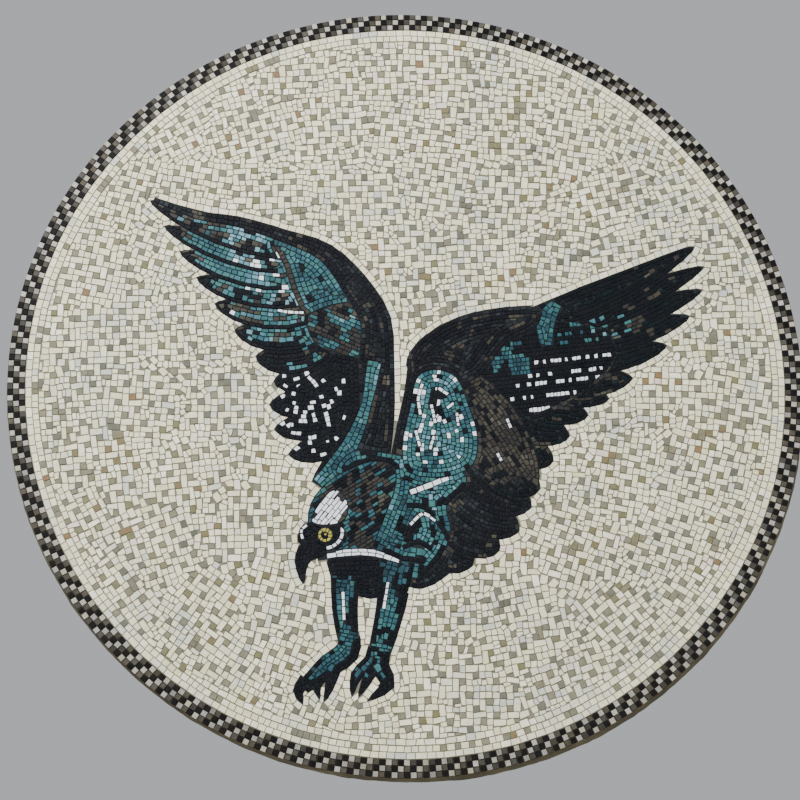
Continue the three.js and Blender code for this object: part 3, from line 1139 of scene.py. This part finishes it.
def linear(code):
    """An sRGB hex colour as linear red, green, blue and full alpha."""
    parts = [int(code[k : k + 2], 16) / 255 for k in (1, 3, 5)]
    return [c / 12.92 if c <= 0.04045 else ((c + 0.055) / 1.055) ** 2.4 for c in parts] + [1.0]


def new_material(name):
    material = bpy.data.materials.new(name)
    material.use_nodes = True
    tree = material.node_tree
    tree.nodes.clear()
    return material, tree, add(tree, "ShaderNodeTexCoord").outputs["Object"]


def surfaced(tree, relief, depth_mm, height, **sockets):
    """Ends a material: its shader, with a relief of so many millimetres."""
    depth = depth_mm * MM
    bump = add(tree, "ShaderNodeBump", {"Strength": relief, "Distance": depth, "Height": height})
    looks = {name.replace("_", " "): value for name, value in sockets.items()}
    shader = add(tree, "ShaderNodeBsdfPrincipled", {"Normal": bump, **looks})
    add(tree, "ShaderNodeOutputMaterial", {0: shader})


def mossed(tree, place, colour, moss):
    """Moss and dirt in blotches of about 24 mm over a colour, thickest low on the panel, where
    rain runs off."""
    height = add(tree, SPLIT, {0: place}).outputs[2]
    low = add(tree, MAP_RANGE, {0: height, 1: 0.05, 2: -0.55, 3: 0.2 * moss, 4: moss})
    blotch = add(tree, NOISE, {"Vector": place, "Scale": 1 / (24 * MM), "Detail": 4.0})
    blotch = add(tree, MAP_RANGE, {0: blotch, 1: 0.38, 2: 0.6, 3: 0.25, 4: 1.0})
    stain = add(tree, MATH, {0: low, 1: blotch}, operation="MULTIPLY")
    both = {0: stain, 6: colour, 7: linear("#2b2719")}
    return add(tree, MIXED, both, data_type="RGBA").outputs[2]


def cut_stone(name, codes, flank, roughness, cloud_mm, cloud=0.22, gloss=0.5, moss=0.0):
    """Hand-cut stone. `tone` picks each piece's colour from the quarry's range, clouds a few
    millimetres across mottle its face, and its flanks take the colour of the joints round them:
    grout, and on the bird's stones also painted shade of their narrow joints."""
    material, tree, place = new_material(name)
    tone = add(tree, "ShaderNodeAttribute", attribute_name="tone").outputs["Fac"]
    stops = [(k / (len(codes) - 1), code) for k, code in enumerate(codes)]
    base = add(tree, RAMP, {0: tone}, stops)
    clouds = add(tree, NOISE, {"Vector": place, "Scale": 1 / (cloud_mm * MM), "Detail": 4.0})
    shade = add(tree, MAP_RANGE, {0: clouds, 1: 0.3, 2: 0.7, 3: 1 - cloud, 4: 1 + 0.6 * cloud})
    colour = add(tree, VECTORS, {0: base, 3: shade}, operation="SCALE").outputs[0]
    if moss:
        colour = mossed(tree, place, colour, moss)
    # the flanks mixed towards the flank colour: grout on them, and on the bird's stones also
    # painted shade of the joints
    side = add(tree, "ShaderNodeAttribute", attribute_name="flank").outputs["Fac"]
    grout_film_and_shade = add(tree, MATH, {0: side, 1: 0.75}, operation="MULTIPLY")
    colour = add(tree, MIXED, {0: grout_film_and_shade, 6: colour, 7: linear(flank)}, data_type="RGBA").outputs[2]
    worn, dull = roughness - 0.08, roughness + 0.1
    rough = add(tree, MAP_RANGE, {0: clouds, 1: 0.3, 2: 0.7, 3: worn, 4: dull})
    # grit of about half a millimetre, drawn at 0.8 mm so that it shows
    grit = add(tree, NOISE, {"Vector": place, "Scale": 1 / (0.8 * MM), "Detail": 2.0})
    looks = {"Base_Color": colour, "Roughness": rough, "IOR": 1.5, "Specular_IOR_Level": gloss}
    surfaced(tree, 0.25, 0.2, grit, **looks)
    return material


def lime_mortar(name, codes, rim=(), sand_mm=1.4, relief=0.5):
    """Lime mortar: matt, sandy, blotched where it was wiped off the stones. Beyond the border it
    is left rough and browner, and in the border's joints it is dark with dirt."""
    material, tree, place = new_material(name)
    blotch = add(tree, NOISE, {"Vector": place, "Scale": 1 / (45 * MM), "Detail": 6.0})
    sand = add(tree, NOISE, {"Vector": place, "Scale": 1 / (sand_mm * MM), "Detail": 3.0})
    mix = add(tree, MATH, {0: sand, 1: 0.4}, operation="MULTIPLY")
    mix = add(tree, MATH, {0: blotch, 1: 0.6, 2: mix}, operation="MULTIPLY_ADD")
    places = (0.3, 0.5, 0.7)
    colour = add(tree, RAMP, {0: mix}, zip(places, codes))
    if rim:
        centre = add(tree, VECTORS, {0: place, 1: (1, 0, 1)}, operation="MULTIPLY")
        out = add(tree, VECTORS, {0: centre}, operation="LENGTH").outputs["Value"]
        beyond = add(tree, MATH, {0: out, 1: (RADIUS - BORDER) * MM}, operation="GREATER_THAN")
        edge = RADIUS * MM
        dirt = add(tree, MAP_RANGE, {0: out, 1: edge - MM, 2: edge, 3: 0.35, 4: 1.0})
        rough = add(tree, RAMP, {0: mix}, zip(places, rim))
        rough = add(tree, VECTORS, {0: rough, 3: dirt}, operation="SCALE")
        colour = add(tree, MIXED, {0: beyond, 6: colour, 7: rough}, data_type="RGBA").outputs[2]
    surfaced(tree, relief, 0.5, sand, Base_Color=colour, Roughness=0.93)
    return material


def floor_paint(name):
    """Pale matt studio floor, rolled on, so that it has a faint stipple."""
    material, tree, place = new_material(name)
    stipple = add(tree, NOISE, {"Vector": place, "Scale": 1 / (4 * MM), "Detail": 2.0})
    colour = add(tree, RAMP, {0: stipple}, [(0.3, "#c8c6c1"), (0.7, "#cac8c3")])
    surfaced(tree, 0.1, 0.2, stipple, Base_Color=colour, Roughness=0.9)
    return material


FINISHES = {
    # honed cream limestone: from cool grey-white through ivory to straw, with a few rosy pieces
    "cream": cut_stone(
        "honed_cream_limestone",
        ["#bdc0ba", "#d2d1bf", "#dfdcbe", "#ebe6c4", "#dbd4ae", "#f6f3d9", "#dcc9bf"],
        "#88836f", 0.62, 6.0, cloud=0.1,
    ),
    # olive-grey limestone: the small squares, dull and a little green, a few of them rusty
    "tan": cut_stone(
        "olive_limestone", ["#545549", "#676758", "#73715d", "#7f7a64", "#6d6b45", "#80603f"],
        "#6c695a", 0.66, 5.0,
    ),
    # the bird's stones, from here to the iris: their dark flank colours are partly grout and
    # partly painted shade of their narrow joints
    # blue-black basalt: near black, some pieces sea-green, some plum or umber
    "ink": cut_stone(
        "blue_black_basalt", ["#03171c", "#04090f", "#060b14", "#0e0e17", "#161a1f", "#2b3237"],
        "#0a0b0d", 0.5, 7.0, cloud=0.3, gloss=0.14,
    ),
    # sea-green marble: deep teal to pale turquoise, softly polished
    "teal": cut_stone(
        "sea_green_marble", ["#0c2831", "#19404b", "#26545f", "#336462", "#3f6f7b", "#7199a6"],
        "#08181c", 0.42, 8.0, cloud=0.3, gloss=0.3,
    ),
    # umber marble: brown and olive-brown, clouded
    "brown": cut_stone(
        "umber_marble", ["#151315", "#23201f", "#2e2a27", "#39362d", "#4d4b42"],
        "#0f0d0c", 0.5, 6.0, gloss=0.25,
    ),
    # white marble: cool, slightly blue, the brightest thing on the panel
    "white": cut_stone(
        "white_marble", ["#d6dde6", "#e6eaf0", "#f0f2f5"], "#5d646b", 0.45, 7.0, cloud=0.06,
    ),
    # yellow-green marble: the ring of the eye and the light in it
    "iris": cut_stone(
        "yellow_green_marble", ["#86802f", "#a39c44", "#b7b060"], "#3a3820", 0.45, 4.0,
    ),
    # black marble cubes: the border's dark stones, dulled by dust and weather
    "border_black": cut_stone(
        "black_marble_cubes", ["#040507", "#08070b", "#0e0c13", "#0c0b0b"],
        "#1b1917", 0.5, 5.0, cloud=0.3, gloss=0.12, moss=0.2,
    ),
    # grey-brown marble cubes: the border's middle tone, mossy low on the panel
    "border_taupe": cut_stone(
        "grey_brown_marble_cubes", ["#302d2a", "#3f3c36", "#4d473c", "#4b4a46", "#38332b"],
        "#2a2824", 0.55, 5.0, cloud=0.3, gloss=0.25, moss=0.45,
    ),
    # off-white marble cubes: the border's light stones, greyed and stained low on the panel
    "border_white": cut_stone(
        "off_white_marble_cubes", ["#83817b", "#9b9991", "#aeaba2", "#a5a08a", "#b6b2ad"],
        "#4b4840", 0.55, 5.0, cloud=0.12, moss=0.4,
    ),
    # lime mortar: sandy olive-grey joints, and a rough brown rim round the border
    "mortar": lime_mortar(
        "lime_mortar", ["#625f52", "#747060", "#888372"], rim=["#2f2a1e", "#4d4631", "#736a4e"],
    ),
    # mortar between the bird's stones, painted near black with a blue-green cast: painted shade
    # for the shadow in their narrow joints
    "shade_painted_mortar": lime_mortar("blackened_mortar", ["#03090c", "#081115", "#0f191d"]),
    # cement back: plain grey, coarser sand, as it left its mould
    "back": lime_mortar("cement_back", ["#8c8980", "#9b988f", "#a7a49c"], sand_mm=2.5, relief=0.7),
    # studio floor: pale, matt and quiet
    "floor": floor_paint("studio_floor"),
}


# ---------------------------------------------------------------- pieces


def solid(name, points, faces, *finishes):
    """A mesh from its points and faces."""
    mesh = bpy.data.meshes.new(name)
    mesh.from_pydata(points, [], faces)
    for finish in finishes:
        mesh.materials.append(FINISHES[finish])
    return mesh


def noted(mesh, name, kind, domain, values):
    """Stores a value, or a vector, for each point or face of a mesh."""
    data = mesh.attributes.new(name, kind, domain).data
    field = "vector" if kind == "FLOAT_VECTOR" else "value"
    data.foreach_set(field, np.array(values, np.float32).ravel())


def flat_stones(name, stones):
    """The stones' outlines as flat faces at their feet, with what the cutter needs on them."""
    points, faces, inset, tone = [], [], [], []
    for stone in stones:
        ring = np.array(stone.shape)
        ring = ring[np.hypot(*(ring - np.roll(ring, 1, axis=0)).T) > 0.35]
        if len(ring) < 3:
            continue
        faces.append(list(range(len(points), len(points) + len(ring))))
        points += [(x * MM, (SHOWN - FACE) * MM, z * MM) for x, z in ring]
        inset += [(x, 0, z) for x, z in swollen(ring, -1.0) - ring]
        tone.append(stone.tone)
    mesh = solid(name, points, faces)
    noted(mesh, "inset", "FLOAT_VECTOR", "POINT", inset)
    noted(mesh, "tone", "FLOAT", "FACE", tone)
    return mesh


def bands(rings, count):
    """The faces between rings of so many points each, from the foot up."""
    return [
        (low + k, low + (k + 1) % count, low + count + (k + 1) % count, low + count + k)
        for low in range(0, (rings - 1) * count, count)
        for k in range(count)
    ]


def border_blank():
    """One small border stone at the origin, its face towards -Y, with a worn arris."""
    half = (BORDER / BORDER_COURSES - JOINT) / 2
    rings = [(half, SHOWN - FACE, 1.0), (half, ARRIS - FACE, 1.0), (half - ARRIS, -FACE, 0.0)]
    corners = ((-1, -1), (1, -1), (1, 1), (-1, 1))
    points = [(s * h * MM, y * MM, t * h * MM) for h, y, _ in rings for s, t in corners]
    faces = [(3, 2, 1, 0), (8, 9, 10, 11), *bands(len(rings), len(corners))]
    mesh = solid("border_blank", points, faces)
    noted(mesh, "flank", "FLOAT", "POINT", [flank for *_, flank in rings for _ in corners])
    return mesh


def mortar_bed():
    """The slab under all the stones, closed, with its rough rim. It slopes out beyond the border
    towards the wall, most at the lower right, where it has slumped."""
    count = 720
    turn = np.linspace(0, 2 * math.pi, count, endpoint=False)
    x, z = RADIUS * np.cos(turn), RADIUS * np.sin(turn)
    spread = RIM + SLUMP * np.exp(3 * (np.cos(turn - SLUMP_TOWARDS) - 1))
    # heights above the wall, and how much of the spread the rim has there
    profile = [(0.0, 0.85), (2.5, 1.0), (9.0, 0.85), (16.0, 0.55), (BED, 0.15)]
    points = []
    for step, (height, share) in enumerate(profile):
        broad = 1.3 * (drift(x, z + 61 * step, 38, 3) - 0.5)
        fine = 0.9 * (drift(x, z + 17 * step, 9, 4) - 0.5)
        radius = (RADIUS - 0.5 + share * (spread + broad + fine)) * MM
        points += [(r * math.cos(t), -height * MM, r * math.sin(t)) for r, t in zip(radius, turn)]
    front = (len(profile) - 1) * count
    back_face, front_face = tuple(reversed(range(count))), tuple(range(front, front + count))
    faces = [*bands(len(profile), count), back_face, front_face]
    mesh = solid("mortar_bed", points, faces, "mortar", "back")
    mesh.polygons[len(faces) - 2].material_index = 1
    return placed("mortar_bed", mesh)


def bird_bed(ground):
    """Mortar between the bird's stones, painted dark as painted shade for their narrow joints: a
    plate that fills the ground's opening.
    """
    loops = sorted(ground.loops, key=surface, reverse=True)[1:]
    flat = [[Vector((x, z, 0)) for x, z in loop[::-1]] for loop in loops]
    points, faces = [], []
    count = sum(len(loop) for loop in flat)
    for y in (-FACE + 2, -BED - 0.1):  # its foot in the slab and its face 0.1 mm above it
        points += [(v.x * MM, y * MM, v.y * MM) for loop in flat for v in loop]
    for a, b, c in tessellate_polygon(flat):
        pa, pb, pc = (Vector((points[k][0], points[k][2])) for k in (a, b, c))
        if (pb - pa).cross(pc - pa) < 0:
            b, c = c, b
        faces += [(a + count, b + count, c + count), (c, b, a)]
    first = 0
    for loop in flat:
        for k in range(len(loop)):
            a, b = first + k, first + (k + 1) % len(loop)
            faces.append((a, b, b + count, a + count))
        first += len(loop)
    # its finish is painted shade: the near-black of shadowed joints, not the mortar's own colour
    return placed("bird_bed", solid("bird_bed", points, faces, "shade_painted_mortar"))


def ride_root(piece, nodes=()):
    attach(piece, "root")
    if nodes:
        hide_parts(*nodes)


# The bird and the ground in groups, by how the names of their areas start
GROUPS = {
    "ground": ("ground",),
    "far_wing": ("far_wing",),
    "near_wing": ("near_wing", "tertial"),
    "body": ("shoulder", "neck", "belly", "tail_feather", "breast"),
    "head": ("eye", "beak", "cheek", "crown", "mask", "nape"),
    "legs": ("left_", "right_"),
}


def group_of(name):
    return next(group for group, starts in GROUPS.items() if name.startswith(starts))


def lay_picture():
    """The ground and the bird, a piece for each kind of stone in each group."""
    areas, stones = set_out(frame["nodes"])
    slot_of = {part["node"]: part["material_slot"] for part in frame["record"]["subparts"]}
    cutter = stone_cutter()
    boxes = {}
    for stone in stones:
        boxes.setdefault((group_of(stone.area.name), stone.kind), []).append(stone)
    for (group, kind), members in sorted(boxes.items()):
        name, slot = f"{group}_{kind}_stones", f"{kind}_stone"
        flat = flat_stones(name + "_flat", members)
        piece = made(name, flat, cutter, Seed=len(members), Material=FINISHES[kind])
        names = [area.name for area in areas if group_of(area.name) == group]
        ride_root(piece, [area for area in names if slot_of[area] == slot])
    ride_root(bird_bed(next(a for a in areas if a.name == "ground")))


def lay_border():
    """The chequered border, a piece for each colour."""
    setter, blank = border_setter(), border_blank()
    courses = [f"border_course_{k + 1}" for k in range(BORDER_COURSES)]
    for colour, kind in enumerate(("border_black", "border_taupe", "border_white")):
        how = {"Colour": colour, "Seed": 7 + colour, "Material": FINISHES[kind]}
        piece = made(kind + "_stones", blank, setter, **how)
        ride_root(piece, courses)


def studio():
    """A plain pale floor, soft daylight from the upper left, a weak fill, and a pale surround."""
    corners = [(-6, -6, -1.5), (6, -6, -1.5), (6, 6, -1.5), (-6, 6, -1.5)]
    floor = placed("floor", solid("floor", corners, [(0, 1, 2, 3)], "floor"))
    world = bpy.data.worlds.new("surround")
    world.use_nodes = True
    world.node_tree.nodes["Background"].inputs[0].default_value = linear("#dfe3e6")
    world.node_tree.nodes["Background"].inputs[1].default_value = 0.62
    bpy.context.scene.world = world
    for name, place, size, power in (
        ("window", (-2.2, -2.6, 2.6), 2.2, 345),
        ("fill", (2.6, -2.8, 0.4), 2.6, 50),
    ):
        lamp = bpy.data.lights.new(name, "AREA")
        lamp.size, lamp.energy = size, power
        holder = placed(name, lamp)
        holder.location = place
        holder.rotation_euler = (-Vector(place)).to_track_quat("-Z", "Y").to_euler()


def camera():
    """From a little below and left of the panel's middle, about three metres away."""
    azimuth, elevation, distance = math.radians(-1.92), math.radians(-16.57), 3.2
    back = Vector((
        math.sin(azimuth) * math.cos(elevation),
        -math.cos(azimuth) * math.cos(elevation),
        math.sin(elevation),
    ))
    view = placed("camera", bpy.data.cameras.new("camera"))
    view.data.lens, view.data.sensor_width = 101.6, 36.0
    view.location = back * distance
    aim = Vector((-0.0098, -0.022, -0.0325))
    view.rotation_euler = (aim - view.location).to_track_quat("-Z", "Y").to_euler()
    bpy.context.scene.camera = view


lay_picture()
lay_border()
ride_root(mortar_bed(), ["mortar_slab"])
studio()
camera()
